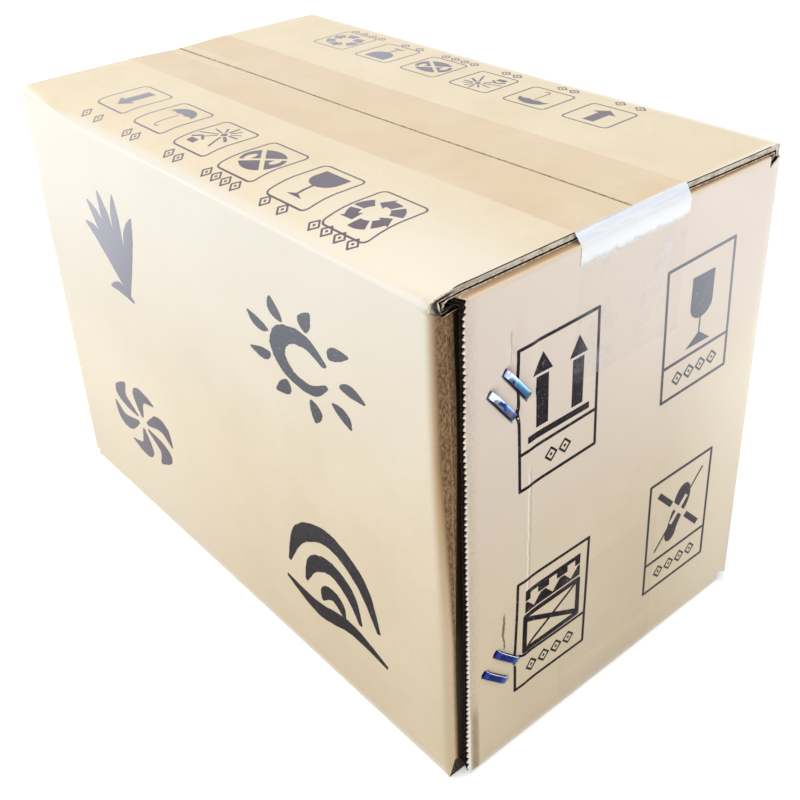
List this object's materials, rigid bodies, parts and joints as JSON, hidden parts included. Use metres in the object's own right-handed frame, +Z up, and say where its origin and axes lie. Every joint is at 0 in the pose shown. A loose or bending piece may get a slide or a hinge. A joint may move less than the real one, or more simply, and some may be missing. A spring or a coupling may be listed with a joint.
{
  "type": "corrugated shipping box",
  "caption": "Closed slotted carton of corrugated kraft board, wire-stitched at one corner and sealed with clear tape along its top and bottom seams.",
  "frame": {"origin": "middle of the base, on the surface that the box stands on", "axes": "+X along the length towards the stitched end panel, +Y across the width away from the lap joint's corner, +Z up"},
  "size_m": [0.2607, 0.15, 0.1871],
  "materials": {
    "kraft_board": "matt natural kraft with a printed face",
    "clear_tape": "clear glossy film",
    "stitching_wire": "bright flat wire"
  },
  "bodies": {
    "root": {"carton": "kraft_board", "top_tape": "clear_tape", "bottom_tape": "clear_tape", "upper_stitch_outer": "stitching_wire", "upper_stitch_inner": "stitching_wire", "lower_stitch_outer": "stitching_wire", "lower_stitch_inner": "stitching_wire"}
  },
  "joints": []
}
